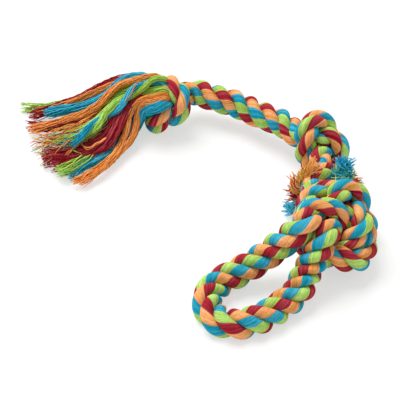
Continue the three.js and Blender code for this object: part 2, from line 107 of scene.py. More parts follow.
# Where each knot lies: its centre, the way its rope comes in, its turn about the rope in degrees, the spacing
# of its passes in rope diameters, how much shorter along the rope it is drawn, and its middle in spacings.
TASSEL_KNOT = {
    "centre": [-0.9, 5.25, 0.99], "toward": [1, 0.28, 0], "roll": 185,
    "spacing": 0.55, "draw": 0.78, "middle": 0.8,
}
MIDDLE_KNOT = {
    "centre": [4.79, 2.7, 1.06], "toward": [-0.45, 0.9, 0], "roll": 180,
    "spacing": 0.6, "draw": 0.8, "middle": 0.8,
}
HANDLE_KNOT = {
    "centre": [5.12, -2.05, 1.29], "toward": [0.1, 0.95, -0.3], "roll": 215,
    "spacing": 0.69, "draw": 0.74, "middle": 1.05,
}

BODY_ROUTE = [[1.0, 5.64, 1.0], [1.75, 5.36, 0.95], [2.5, 4.8, 0.95]]
HANDLE_ROUTE = [
    [2.72, -3.38, 1.1], [1.84, -3.72, 0.66], [1.02, -4.16, 0.45], [0.62, -4.97, 0.4], [0.97, -5.88, 0.4],
    [1.66, -6.1, 0.4], [2.46, -5.78, 0.4], [3.2, -5.16, 0.43], [3.72, -4.66, 0.57], [3.98, -4.15, 0.86],
]
NECK_ROUTE = [[4.7, 0.33, 1.42]]
LEG_CUT = 3  # points of the doubled knot that its legs take the place of
TAIL_END = [5.13, 0.18, 0.55]
TAIL_WAY = [0.15, 1, -0.1]

# How the knots are drawn tight, in spacings of their passes.
DRAW_STEP = 0.4  # between the points of a path
DRAW_ROUNDS = 800
DRAW_PULL = 0.9
DRAW_EASE = 4  # the pull eases off over the last of this many parts of the rounds
DRAW_BEND = 0.55  # radius of the tightest bend
DRAW_HELD = 3  # points at each end
DRAW_NEAR = 1.7  # pairs of points within this distance are watched
DRAW_PAUSE = 10  # rounds between two searches for pairs, and after which the points are spread evenly again
DRAW_PUSHES = 3  # in each round
DRAW_SHARE = 0.6  # of what is missing that one push makes up for
DRAW_TINY = 1e-9

# The camera looks along +Y and down, at a place on the floor.
CAMERA_TARGET = (0.0064, 0.01756, 0.0)
CAMERA_RISE = 40.0
CAMERA_AWAY = 1.24
CAMERA_ANGLE = 13.4
camera_rise = math.radians(CAMERA_RISE)
camera_back = np.array([0, -math.cos(camera_rise), math.sin(camera_rise)])
camera_place = np.array(CAMERA_TARGET) + CAMERA_AWAY * camera_back


def in_metres(place):
    return (np.asarray(place, float) - ORIGIN) * ROPE


def unit(v):
    v = np.asarray(v, float)
    return v / np.linalg.norm(v, axis=-1, keepdims=True)


def runs_of(points):
    """The length along a path at each of its points."""
    return np.r_[0, np.cumsum(np.linalg.norm(np.diff(points, axis=0), axis=1))]


def at_runs(points, runs, values=None):
    """The places at lengths along a path, or the values there if each point has one."""
    own = runs_of(points)
    values = points if values is None else values
    return np.stack([np.interp(runs, own, values[:, k]) for k in range(3)], axis=-1)


def even_points(points, count):
    return at_runs(points, np.linspace(0, runs_of(points)[-1], count))


def smooth_path(points, start_way, end_way, per_span):
    """A smooth path through the points that starts and ends in the given directions."""
    points = np.asarray(points, float)
    slopes = np.zeros_like(points)
    slopes[1:-1] = 0.5 * (points[2:] - points[:-2])
    slopes[0] = unit(start_way) * np.linalg.norm(points[1] - points[0])
    slopes[-1] = unit(end_way) * np.linalg.norm(points[-1] - points[-2])
    t = (np.arange(per_span) / per_span)[:, None]
    path = []
    for a, b, slope_a, slope_b in zip(points[:-1], points[1:], slopes[:-1], slopes[1:]):
        path.append(
            (2 * t**3 - 3 * t**2 + 1) * a + (t**3 - 2 * t**2 + t) * slope_a
            + (3 * t**2 - 2 * t**3) * b + (t**3 - t**2) * slope_b
        )
    return np.vstack([*path, points[-1:]])


def softened(values, width):
    """Values along an even path, averaged over a bell of that many steps, with the ends kept."""
    bell_widths = 3
    reach = int(bell_widths * width)
    bell = np.exp(-0.5 * (np.arange(-reach, reach + 1) / width) ** 2)
    bell /= bell.sum()
    flat = values.reshape(len(values), -1)
    first = 2 * flat[:1] - flat[reach:0:-1]
    last = 2 * flat[-1:] - flat[-2:-reach - 2:-1]
    padded = np.vstack([first, flat, last])
    mean = np.stack([np.convolve(column, bell, "valid") for column in padded.T], axis=1)
    return mean.reshape(values.shape)


def loose_knot(size, lift, reach, level, side):
    """A loose overhand knot in pass spacings: a trefoil curve opened at its lowest lobe, with its two ends
    led out along X. The side shifts it off its line, for two ropes that are tied together."""
    open_by = 0.45
    lead = 0.8
    point_count = 150
    t = np.linspace(np.pi + open_by, 3 * np.pi - open_by, point_count)
    way = unit(np.stack([np.cos(t) + 4 * np.cos(2 * t), 4 * np.sin(2 * t) - np.sin(t)], axis=1))
    loop = np.stack([
        size * (np.sin(t) + 2 * np.sin(2 * t)) - side * way[:, 1],
        size * (np.cos(t) - 2 * np.cos(2 * t)) + side * way[:, 0] - level,
        -lift * np.sin(3 * t),
    ], axis=1)
    led_in = [[reach, side, 0], [reach - lead, side, 0]]
    led_out = [[lead - reach, side, 0], [-reach, side, 0]]
    return np.vstack([led_in, loop, led_out])


def draw_tight(paths):
    """Draws loose paths tight: each shortens, and points that come nearer than one spacing push apart. Close
    along the same path the limit is the chord of the tightest bend. Points at the ends are held."""
    held = DRAW_HELD
    paths = [even_points(p, int(round(runs_of(p)[-1] / DRAW_STEP)) + 1) for p in paths]
    sizes = [len(p) for p in paths]
    cuts = np.cumsum(sizes)[:-1]
    count = sum(sizes)
    owner = np.repeat(np.arange(len(paths)), sizes)
    free = np.concatenate([np.r_[np.zeros(held), np.ones(n - 2 * held), np.zeros(held)] for n in sizes]) > 0
    one, other = np.triu_indices(count, 1)
    for number in range(DRAW_ROUNDS):
        draw = DRAW_PULL * min(1.0, DRAW_EASE * (1 - number / DRAW_ROUNDS))
        for k, path in enumerate(paths):
            moved = path.copy()
            middles = 0.5 * (path[held - 1:-held - 1] + path[held + 1:len(path) - held + 1])
            moved[held:-held] += draw * (middles - path[held:-held])
            if number % DRAW_PAUSE == DRAW_PAUSE - 1:
                moved[held:-held] = even_points(moved, len(moved))[held:-held]
            paths[k] = moved
        points = np.vstack(paths)
        run = np.concatenate([runs_of(p) for p in paths])
        if number % DRAW_PAUSE == 0:
            near = np.linalg.norm(points[one] - points[other], axis=1) < DRAW_NEAR
            i, j = one[near], other[near]
        along = np.where(owner[i] == owner[j], np.abs(run[i] - run[j]), np.inf)
        angle = np.minimum(along / (2 * DRAW_BEND), np.pi / 2)
        chord = np.minimum(2 * DRAW_BEND * np.sin(angle), 1.0)
        limit = np.where(along < np.pi * DRAW_BEND, chord, 1.0)
        for _ in range(DRAW_PUSHES):
            apart = points[i] - points[j]
            distance = np.linalg.norm(apart, axis=1) + DRAW_TINY
            short = np.maximum(limit - distance, 0)
            push = apart * (short / distance)[:, None]
            hit = (short > 0).astype(float)
            pushed = [np.bincount(i, push[:, k], count) - np.bincount(j, push[:, k], count) for k in range(3)]
            hits = np.maximum(np.bincount(i, hit, count) + np.bincount(j, hit, count), 1)
            points[free] += (DRAW_SHARE * np.stack(pushed, axis=1) / hits[:, None])[free]
        paths = np.split(points, cuts)
    return paths


def placed(path, knot):
    """A knot's path carried from pass spacings to its place on the floor."""
    x = unit(knot["toward"])
    up = unit(np.array([0, 0, 1.0]) - x * x[2])
    roll = math.radians(knot["roll"])
    y = np.cross(up, x) * math.cos(roll) + up * math.sin(roll)
    z = np.cross(x, y)
    local = (path - [0, knot["middle"], 0]) * [knot["draw"], 1, 1] * knot["spacing"] * ROPE
    return in_metres(knot["centre"]) + local @ np.stack([x, y, z])


def rounded(path):
    """A knot's path with its corners rounded."""
    return smooth_path(path, path[1] - path[0], path[-1] - path[-2], per_span=8)


# The path of the whole rope, from the tassel to the tail.
single = draw_tight([loose_knot(size=0.8, lift=1.0, reach=2.6, level=-0.75, side=0)])[0]
doubled = draw_tight([
    loose_knot(size=1.6, lift=1.9, reach=3.0, level=-1.2, side=side) for side in (0.55, -0.55)
])
tassel_path = rounded(placed(single, TASSEL_KNOT))[::-1]
middle_path = rounded(placed(single, MIDDLE_KNOT))
standing_path = rounded(placed(doubled[1], HANDLE_KNOT)[:-LEG_CUT])
return_path = rounded(placed(doubled[0], HANDLE_KNOT)[:-LEG_CUT])[::-1]


def link(a, b, route, per_span):
    """A smooth path from the end of a to the start of b through a route."""
    points = [a[-1], *[in_metres(p) for p in route], b[0]]
    return smooth_path(points, a[-1] - a[-2], b[1] - b[0], per_span)


root_way = unit(tassel_path[0] - tassel_path[1])
root_end = tassel_path[0] + root_way * ROOT_LENGTH
tail_points = [return_path[-1], in_metres(TAIL_END)]
tail_path = smooth_path(tail_points, return_path[-1] - return_path[-2], TAIL_WAY, per_span=40)
STRETCHES = {
    "root": np.linspace(root_end, tassel_path[0], num=10),
    "tassel_knot": tassel_path,
    "body": link(tassel_path, middle_path, BODY_ROUTE, per_span=30),
    "middle_knot": middle_path,
    "neck": link(middle_path, standing_path, NECK_ROUTE, per_span=40),
    "standing": standing_path,
    "handle": link(standing_path, return_path, HANDLE_ROUTE, per_span=20),
    "return": return_path,
    "tail": tail_path,
}
FINE_STEP = 0.0005
pieces = []
fine_ends = {}
total = 0
for name, path in STRETCHES.items():
    count = max(int(round(runs_of(path)[-1] / FINE_STEP)), 2)
    pieces.append(even_points(path, count + 1)[:-1])
    fine_ends[name] = (total, total + count)
    total += count
fine = softened(np.vstack([*pieces, tail_path[-1:]]), width=4)
fine_runs = runs_of(fine)
ring_count = int(round(fine_runs[-1] / RING_STEP)) + 1
ring_runs = np.linspace(0, fine_runs[-1], ring_count)
rings = at_runs(fine, ring_runs)
ring_ends = {
    name: [int(np.searchsorted(ring_runs, fine_runs[k])) for k in ends]
    for name, ends in fine_ends.items()
}
ways = unit(np.gradient(rings, axis=0))
sides = np.zeros_like(rings)
sides[0] = unit(np.cross([0, 0, 1], ways[0]))
for i in range(1, ring_count):
    sides[i] = unit(sides[i - 1] - ways[i] * (sides[i - 1] @ ways[i]))
overs = np.cross(ways, sides)

# How far the rope reaches in each direction round it: its own radius, or less where it presses on another
# pass, on the inside of its own bend or on the floor.
DIRECTIONS = 36
PRESS_NEAR = 0.04  # passes within this distance press on the rope
PRESS_SKIP = 0.003  # length of the rope next to a ring that doesn't
PRESS_SHARPNESS = 7  # of the edge between the round side and a pressed one
PRESS_TINY = 1e-6
full = np.full(ring_count, ROPE / 2)
for name, diameter in {
    "root": KNOT_ROPE, "tassel_knot": KNOT_ROPE, "middle_knot": KNOT_ROPE, "neck": NECK_ROPE,
    "standing": KNOT_ROPE, "return": KNOT_ROPE, "tail": KNOT_ROPE,
}.items():
    full[ring_ends[name][0]:ring_ends[name][1] + 1] = diameter / 2
full = softened(full, width=5)
turns = TURN * np.arange(DIRECTIONS) / DIRECTIONS
reaches = np.zeros((ring_count, DIRECTIONS))
for i in range(ring_count):
    outs = np.outer(np.cos(turns), sides[i]) + np.outer(np.sin(turns), overs[i])
    apart = rings[i] - rings
    squared = (apart**2).sum(axis=1)
    passes = (squared < PRESS_NEAR**2) & (np.abs(ring_runs - ring_runs[i]) > PRESS_SKIP)
    ahead = np.maximum(-outs @ apart[passes].T, PRESS_TINY)
    stop = (squared[passes] / (2 * ahead)).min(axis=1)
    floor_stop = rings[i, 2] / np.maximum(-outs[:, 2], PRESS_TINY)
    shares = full[i] / np.stack([stop, floor_stop])
    reaches[i] = full[i] / (1 + (shares**PRESS_SHARPNESS).sum(axis=0)) ** (1 / PRESS_SHARPNESS)
reaches = softened(reaches, width=1.5)

# The turn of the lay along the rope, and the colours on the crown of each strand. Both follow the marks, and
# what is over is taken up in the knots between them.
toward_camera = unit(camera_place - rings)
facing = np.unwrap(np.arctan2((toward_camera * overs).sum(axis=1), (toward_camera * sides).sum(axis=1)))
mark_rings = []
mark_turns = []
for name, marks in LAY_MARKS.items():
    numbers = [ring_ends[name][0] + int(round(run / RING_STEP)) for run, _ in marks]
    turn = facing[numbers[0]]
    if mark_rings:
        expected = mark_turns[-1] + TURN * (ring_runs[numbers[0]] - ring_runs[mark_rings[-1]]) / LAY
        turn += TURN * round((expected - turn) / TURN)
    base = turn - facing[numbers[0]]
    mark_rings += numbers
    for ring, (_, passed) in zip(numbers, marks):
        mark_turns.append(base + facing[ring] + TURN * passed / STRANDS)
mark_runs = ring_runs[mark_rings]
first_turn = mark_turns[0] - TURN * mark_runs[0] / LAY
last_turn = mark_turns[-1] + TURN * (ring_runs[-1] - mark_runs[-1]) / LAY
lay_turn = np.interp(ring_runs, [0, *mark_runs, ring_runs[-1]], [first_turn, *mark_turns, last_turn])
lay_turn = softened(lay_turn, width=4)
colour_rings = [
    ring_ends[name][0] + int(round(marks[0][0] / RING_STEP)) for name, marks in LAY_MARKS.items()
]
colour_count = len(COLOURS)
crown = colour_count * YARN_TURNS * (lay_turn - lay_turn[colour_rings[0]]) / TURN
body_colour, handle_colour = (colour for colour, _ in COLOUR_MARKS.values())
over = np.mod(handle_colour - body_colour - crown[colour_rings[1]] + colour_count / 2, colour_count)
crown += body_colour + np.interp(ring_runs, ring_runs[colour_rings], [0, over - colour_count / 2])
crowns = []
for strand in range(STRANDS):
    shifts = [strand_shifts[strand] for _, strand_shifts in COLOUR_MARKS.values()]
    crowns.append(crown + np.interp(ring_runs, ring_runs[colour_rings], shifts))

# Spun cotton on a yarn's own map: fine fibres of uneven tone, darker where their bump is low, which is
# painted shade in the grooves, and broad tones that differ from yarn to yarn.
YARN_MAP = "yarn"
FIBRE_SCALE = (2200.0, 420.0, 1.0)
FIBRE_DETAIL = 3.0
FIBRE_SHADES = (0.70, 1.18)
FIBRE_HEIGHT = 0.0003
TONE_SCALE = (420.0, 12.0, 1.0)
TONE_DETAIL = 1.0
NOISE_MIDDLE = (0.3, 0.7)  # most of a noise lies between these


def noise_along(tree, coordinates, scale, detail):
    """Noise that is stretched along the yarn."""
    stretch = tree.nodes.new("ShaderNodeMapping")
    stretch.inputs["Scale"].default_value = scale
    tree.links.new(coordinates.outputs["UV"], stretch.inputs["Vector"])
    noise = tree.nodes.new("ShaderNodeTexNoise")
    noise.inputs["Scale"].default_value = 1.0
    noise.inputs["Detail"].default_value = detail
    tree.links.new(stretch.outputs["Vector"], noise.inputs["Vector"])
    return noise.outputs["Fac"]


def spread(tree, noise, extremes):
    """The middle of a noise, taken to two extremes."""
    spreader = tree.nodes.new("ShaderNodeMapRange")
    spreader.inputs["From Min"].default_value, spreader.inputs["From Max"].default_value = NOISE_MIDDLE
    spreader.inputs["To Min"].default_value, spreader.inputs["To Max"].default_value = extremes
    tree.links.new(noise, spreader.inputs["Value"])
    return spreader.outputs["Result"]


def yarn_material(name, colour, extremes):
    """Streaks along the yarn, darker where their bump is low, which is painted shade in the grooves between
    fibres; yarns of uneven tone that are paler where they are brighter, which is a painted highlight; and
    loose fibres that catch the light at its edges."""
    material = bpy.data.materials.new(name)
    material.use_nodes = True
    tree = material.node_tree
    shader = tree.nodes["Principled BSDF"]
    shader.inputs["Roughness"].default_value = 0.9
    shader.inputs["Specular IOR Level"].default_value = 0.15
    shader.inputs["Sheen Weight"].default_value = 0.12
    shader.inputs["Sheen Roughness"].default_value = 0.5
    shader.inputs["Sheen Tint"].default_value = (*colour, 1)
    coordinates = tree.nodes.new("ShaderNodeUVMap")
    coordinates.uv_map = YARN_MAP
    fibres = noise_along(tree, coordinates, FIBRE_SCALE, FIBRE_DETAIL)
    tones = noise_along(tree, coordinates, TONE_SCALE, TONE_DETAIL)
    value = tree.nodes.new("ShaderNodeMath")
    value.operation = "MULTIPLY"
    # The fibre streaks darken where the same noise lowers the bump: fibre tone, and painted shade in the
    # grooves.
    tree.links.new(spread(tree, fibres, FIBRE_SHADES), value.inputs[0])
    tree.links.new(spread(tree, tones, extremes["bright"]), value.inputs[1])
    tint = tree.nodes.new("ShaderNodeHueSaturation")
    tint.inputs["Color"].default_value = (*colour, 1)
    tree.links.new(value.outputs["Value"], tint.inputs["Value"])
    # The saturation falls as the tone rises, so the bright yarns are paler: a painted highlight.
    tree.links.new(spread(tree, tones, extremes["deep"]), tint.inputs["Saturation"])
    tree.links.new(tint.outputs["Color"], shader.inputs["Base Color"])
    bump = tree.nodes.new("ShaderNodeBump")
    bump.inputs["Strength"].default_value = 0.5
    bump.inputs["Distance"].default_value = FIBRE_HEIGHT
    tree.links.new(fibres, bump.inputs["Height"])
    tree.links.new(bump.outputs["Normal"], shader.inputs["Normal"])
    return material


def cotton(kind, colours, extremes):
    """The materials of the four colours."""
    return [yarn_material(f"{name} {kind}", colour, extremes) for name, colour in colours.items()]


ROPE_MATERIALS = cotton("rope", COLOURS, ROPE_TONES)
LOOSE_MATERIALS = cotton("yarn", LOOSE_COLOURS, LOOSE_TONES)
# The tufts' materials are brighter copies of the loose yarns' materials, which is painted light.
TUFT_PAINTED_LIGHT_MATERIALS = cotton("tuft", TUFT_PAINTED_LIGHT_COLOURS, LOOSE_TONES)

# A second map: a sheet on which a piece's colours can be painted. Each strand or yarn is one upright strip of
# it, with its caps at the ends of the strip.
SHEET = "OFBake"
STRIP_MARGIN = 0.08  # of the width of a strip
STRIP_CAP = 0.02  # of the height of the sheet


def across_strips(strips, columns, corners):
    """How far across the sheet the corners of each column's faces lie, for each strip."""
    place = (np.arange(columns)[:, None] + corners) / columns
    return (np.arange(strips)[:, None, None] + STRIP_MARGIN + (1 - 2 * STRIP_MARGIN) * place) / strips


def quad_places(strips, columns, ring_total):
    """The corners of the quads of tubes on the sheet, for each strip."""
    places = np.zeros((strips, ring_total - 1, columns, 4, 2))
    places[..., 0] = across_strips(strips, columns, [0, 1, 1, 0])[:, None]
    ring = (np.arange(ring_total - 1)[:, None] + [0, 0, 1, 1]) / (ring_total - 1)
    places[..., 1] = STRIP_CAP + (1 - 2 * STRIP_CAP) * ring[:, None]
    return places


def cap_places(strips, columns, end):
    """The corners of the triangles of the caps at the start, 0, or the end, 1, of tubes on the sheet."""
    places = np.zeros((strips, columns, 3, 2))
    places[..., 0] = across_strips(strips, columns, [end == 0, end == 1, 0.5])
    rim = STRIP_CAP if end == 0 else 1 - STRIP_CAP
    places[..., 1] = [rim, rim, end]
    return places


def add_mesh(name, vertices, quads, triangles, materials, paints, uvs, sheet):
    """A smooth mesh of quads and then triangles, with a material number for each face, a place in the yarn
    for each vertex and a place on the sheet for each corner."""
    mesh = bpy.data.meshes.new(name)
    quads = np.asarray(quads, np.int32).reshape(-1, 4)
    triangles = np.asarray(triangles, np.int32).reshape(-1, 3)
    corners = np.concatenate([quads.ravel(), triangles.ravel()])
    counts = np.r_[np.full(len(quads), 4), np.full(len(triangles), 3)]
    mesh.vertices.add(len(vertices))
    mesh.vertices.foreach_set("co", np.asarray(vertices, np.float32).ravel())
    mesh.loops.add(len(corners))
    mesh.loops.foreach_set("vertex_index", corners)
    mesh.polygons.add(len(counts))
    mesh.polygons.foreach_set("loop_start", np.r_[0, np.cumsum(counts)[:-1]].astype(np.int32))
    mesh.polygons.foreach_set("loop_total", counts.astype(np.int32))
    mesh.polygons.foreach_set("material_index", np.asarray(paints, np.int32))
    mesh.polygons.foreach_set("use_smooth", np.ones(len(counts), bool))
    layer = mesh.uv_layers.new(name=YARN_MAP)
    layer.data.foreach_set("uv", np.asarray(uvs, np.float32)[corners].ravel())
    sheet_layer = mesh.uv_layers.new(name=SHEET, do_init=False)
    sheet_layer.data.foreach_set("uv", np.asarray(sheet, np.float32).ravel())
    for material in materials:
        mesh.materials.append(material)
    mesh.update(calc_edges=True)
    mesh.validate()
    piece = bpy.data.objects.new(name, mesh)
    bpy.context.scene.collection.objects.link(piece)
    return piece


def tube_faces(first, ring_total, columns):
    """The quads of a tube whose vertices start at a number, and the two rings at its ends."""
    numbers = first + np.arange(ring_total * columns).reshape(ring_total, columns)
    turned = np.roll(numbers, -1, axis=1)
    quads = np.stack([numbers[:-1], turned[:-1], turned[1:], numbers[1:]], axis=-1).reshape(-1, 4)
    return quads, numbers[0], numbers[-1]


def fan(rim, middle, flipped):
    """Triangles from a rim to its middle."""
    following = np.roll(rim, -1)
    pair = (following, rim) if flipped else (rim, following)
    return np.stack([pair[0], pair[1], np.full(len(rim), middle)], axis=1)


def rope_piece(name, first, last):
    """The laid rope between two rings: three strands, each with its yarns in four colours."""
    columns = YARNS * YARN_COLUMNS
    span = np.arange(first, last + 1)
    share = np.arange(columns) / columns
    yarn = 1 - YARN_RELIEF + 2 * YARN_RELIEF * np.abs(np.sin(np.pi * YARNS * share))
    column_paint = (np.arange(columns) * len(COLOURS)) // columns
    vertices, quads, triangles, paints, caps, uvs = [], [], [], [], [], []
    total = 0
    for strand in range(STRANDS):
        turn = (lay_turn[span] + TURN * strand / STRANDS)[:, None]
        angle = TURN * (share[None] - crowns[strand][span][:, None] / colour_count)
        deep = STRAND_CENTRE + STRAND_DEEP * yarn * np.cos(angle)
        wide = STRAND_WIDE * yarn * np.sin(angle)
        x = deep * np.cos(turn) - wide * np.sin(turn)
        y = deep * np.sin(turn) + wide * np.cos(turn)
        place = np.mod(np.arctan2(y, x) * DIRECTIONS / TURN, DIRECTIONS)
        low = np.floor(place).astype(int) % DIRECTIONS
        part = place - np.floor(place)
        row = span[:, None]
        size = 2 * (reaches[row, low] * (1 - part) + reaches[row, (low + 1) % DIRECTIONS] * part)
        points = (
            rings[span][:, None] + (x * size)[..., None] * sides[span][:, None]
            + (y * size)[..., None] * overs[span][:, None]
        )
        strand_quads, start_rim, end_rim = tube_faces(total, len(span), columns)
        vertices.append(points.reshape(-1, 3))
        u = np.tile(share * TURN * STRAND_DEEP * ROPE, len(span))
        v = np.repeat(ring_runs[span], columns)
        uvs.append(np.stack([u, v], axis=1))
        quads.append(strand_quads)
        paints.append(np.tile(column_paint, len(span) - 1))
        total += len(span) * columns
        for rim, ring, flipped in ((start_rim, 0, True), (end_rim, -1, False)):
            vertices.append(points[ring].mean(axis=0)[None])
            uvs.append(np.array([[0.0, ring_runs[span][ring]]]))
            triangles.append(fan(rim, total, flipped))
            caps.append(column_paint)
            total += 1
    quad_sheet = quad_places(STRANDS, columns, len(span))
    cap_sheet = np.stack([cap_places(STRANDS, columns, end) for end in (0, 1)], axis=1)
    vertices = np.vstack(vertices)
    vertices[:, 2] = np.maximum(vertices[:, 2], FLOOR_GAP)
    piece = add_mesh(
        name, vertices, np.vstack(quads), np.vstack(triangles),
        ROPE_MATERIALS, np.concatenate([*paints, *caps]), np.vstack(uvs),
        np.vstack([quad_sheet.reshape(-1, 2), cap_sheet.reshape(-1, 2)]),
    )
    return piece


# The handle is a free loop of rope from the knot and back to it.
handle_first, handle_last = ring_ends["handle"]
handle = rope_piece("rope_handle", handle_first, handle_last)
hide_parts("handle_leg_1", "handle_loop", "handle_leg_2")
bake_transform(handle)

# The body is the free rope between the tassel's knot and the middle knot, led some way into each.
BODY_LEAD = 16  # rings
body_first = ring_ends["body"][0] - BODY_LEAD
body_last = ring_ends["body"][1] + BODY_LEAD
body = rope_piece("rope_body", body_first, body_last)
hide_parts("body_rope_1", "body_rope_2")
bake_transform(body)

LEAD_CUT = 30  # rings of the rope's end that are frayed back into the tassel's knot
lead_cut = ring_ends["root"][0] + LEAD_CUT
tassel_knot = rope_piece("rope_tassel_knot", lead_cut, body_first)
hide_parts("tassel_knot", "tassel_root")
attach(tassel_knot, "tassel_knot")

middle_knot = rope_piece("rope_middle_knot", body_last, ring_ends["middle_knot"][1])
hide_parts("middle_knot")
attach(middle_knot, "middle_knot")

neck_first, neck_last = ring_ends["neck"]
neck = rope_piece("rope_neck", neck_first, neck_last)
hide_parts("neck_rope")
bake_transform(neck)

standing = rope_piece("rope_handle_knot_standing", *ring_ends["standing"])
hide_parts("handle_knot_standing")
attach(standing, "handle_knot")

returned = rope_piece("rope_handle_knot_return", ring_ends["return"][0], ring_count - 1)
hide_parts("handle_knot_return", "tail_rope")
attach(returned, "handle_knot")

# Loose yarns: the frayed ends of the rope. A bundle of them parts from the end of the laid rope and passes
# through places in rope diameters, and its yarns end unevenly.
YARN_RADIUS = 0.00045
YARN_SIDES = 5
YARN_RINGS = 46
GOLDEN_ANGLE = math.pi * (3 - math.sqrt(5))
BUNDLE_TOP = unit([0, -0.5, 0.85])  # the broad side of a lock faces this way
GATHERED = 0.7  # the size of a bundle at its start
OPENED_AT = 0.15  # of a bundle's length, from where it has its full size
TIP_START = 0.8  # of a bundle's length, from where it flares
TIP_LENGTH = 0.2
BUNDLE_TWIST = 0.5  # turns
RAGGED_POWER = 1.5  # above 1, more yarns are long than short
YARN_SWAY = 0.0002
SWAY_WAVES = (1.5, 2.0)  # the fewest in a yarn, and how many more there may be
YARN_CRIMP = 0.00022
CRIMP_LENGTH = (0.006, 0.005)  # of the shortest wave, and how much longer one may be
YARN_LIFT = 1.3  # least height of a yarn's middle, in yarn radii
YARN_SIZE = (0.85, 0.3)  # of the thinnest yarn, in yarn radii, and how much thicker one may be
TIP_TAPER = 0.4
TAPER_POWER = 12


def bundle(
    colours, count, wide, route, thick=0.003, coil=(0.0, 1.0, 0.0),
    flare=0.25, ragged=0.09, stray=0.001, fine=1.0,
):
    """A count of yarns in turn of the colours, half the width and thickness of the bundle, and its route. A
    coil is its radius, its length and where it starts. Flare is how much wider the bundle ends, ragged is how
    much shorter its shortest yarn is, stray is how far its yarns wander at their ends, and fine is how thick
    each yarn is."""
    return {
        "colours": colours, "count": count, "wide": wide, "thick": thick, "route": route,
        "coil": coil, "flare": flare, "ragged": ragged, "stray": stray, "fine": fine,
    }


def yarn_paths(rows):
    """The paths of the yarns of one bundle, an array of yarns, rings and places."""
    count = rows["count"]
    points = in_metres(rows["route"])
    line = smooth_path(points, points[1] - points[0], points[-1] - points[-2], per_span=12)
    length = runs_of(line)[-1]
    missing = rows["ragged"] * random.random((count, 1)) ** RAGGED_POWER
    part = (1 - missing) * np.linspace(0, 1, YARN_RINGS)
    middle = at_runs(line, part * length)
    way = unit(at_runs(line, part * length, np.gradient(line, axis=0)))
    side = unit(np.cross(way, BUNDLE_TOP))
    over = np.cross(side, way)
    order = np.arange(count)[:, None]
    opened = np.minimum(part / OPENED_AT, 1)
    opened = GATHERED + (1 - GATHERED) * opened**2 * (3 - 2 * opened)
    tip = np.clip((part - TIP_START) / TIP_LENGTH, 0, 1)
    out = np.sqrt((order + 0.5) / count) * opened * (1 + rows["flare"] * tip**2)
    turn = order * GOLDEN_ANGLE + BUNDLE_TWIST * TURN * part
    coil_radius, coil_length, coil_start = rows["coil"]
    coil_turn = TURN * (part * length / coil_length + coil_start)
    across = out * rows["wide"] * np.cos(turn) + coil_radius * np.cos(coil_turn)
    above = out * rows["thick"] * np.sin(turn) + coil_radius * np.sin(coil_turn)
    for shift in (across, above):
        start, pace = random.random((2, count, 1))
        waves = SWAY_WAVES[0] + SWAY_WAVES[1] * pace
        shift += (YARN_SWAY + rows["stray"] * part**3) * np.sin(TURN * (start + waves * part))
        start, pace = random.random((2, count, 1))
        wave_length = CRIMP_LENGTH[0] + CRIMP_LENGTH[1] * pace
        shift += YARN_CRIMP * np.sin(TURN * (start + part * length / wave_length))
    paths = middle + across[..., None] * side + above[..., None] * over
    paths[..., 2] = np.maximum(paths[..., 2], YARN_LIFT * YARN_RADIUS)
    return paths


def add_yarns(name, bundles, materials):
    """One piece of loose yarns, each a closed thin tube."""
    names = list(COLOURS)
    paths = np.vstack([yarn_paths(rows) for rows in bundles])
    colours = []
    fine = []
    for rows in bundles:
        colours += [rows["colours"][k % len(rows["colours"])] for k in range(rows["count"])]
        fine += [rows["fine"]] * rows["count"]
    count = len(paths)
    way = unit(np.gradient(paths, axis=1))
    side = unit(np.cross(way, BUNDLE_TOP))
    over = np.cross(way, side)
    angle = TURN * np.arange(YARN_SIDES) / YARN_SIDES
    share = np.linspace(0, 1, YARN_RINGS)
    size = YARN_SIZE[0] + YARN_SIZE[1] * random.random((count, 1))
    radius = YARN_RADIUS * np.array(fine)[:, None] * size * (1 - TIP_TAPER * share**TAPER_POWER)
    outs = np.cos(angle)[:, None] * side[:, :, None] + np.sin(angle)[:, None] * over[:, :, None]
    vertices = paths[:, :, None] + radius[..., None, None] * outs
    numbers = np.arange(vertices.size // 3).reshape(vertices.shape[:3])
    turned = np.roll(numbers, -1, axis=2)
    quads = np.stack([numbers[:, :-1], turned[:, :-1], turned[:, 1:], numbers[:, 1:]], axis=-1)
    rims = np.concatenate([numbers[:, -1], numbers[:, 0, ::-1]])
    triangles = np.stack([rims[:, [0, k, k + 1]] for k in range(1, YARN_SIDES - 1)], axis=1)
    yarn_paint = np.array([names.index(colour) for colour in colours])
    side_paint = np.repeat(yarn_paint, (YARN_RINGS - 1) * YARN_SIDES)
    cap_paint = np.repeat(np.tile(yarn_paint, 2), YARN_SIDES - 2)
    lengths = np.linalg.norm(np.diff(paths, axis=1), axis=2).sum(axis=1)
    u = random.random((count, 1, 1)) + radius[..., None] * angle
    v = np.broadcast_to((lengths[:, None] * share)[..., None], u.shape)
    quad_sheet = quad_places(count, YARN_SIDES, YARN_RINGS)
    cap_sheet = np.concatenate([cap_places(count, 1, end) for end in (1, 0)])
    cap_sheet = cap_sheet.repeat(YARN_SIDES - 2, axis=1)
    piece = add_mesh(
        name, vertices.reshape(-1, 3), quads.reshape(-1, 4), triangles.reshape(-1, 3),
        materials, np.concatenate([side_paint, cap_paint]), np.stack([u, v], axis=-1).reshape(-1, 2),
        np.vstack([quad_sheet.reshape(-1, 2), cap_sheet.reshape(-1, 2)]),
    )
    return piece


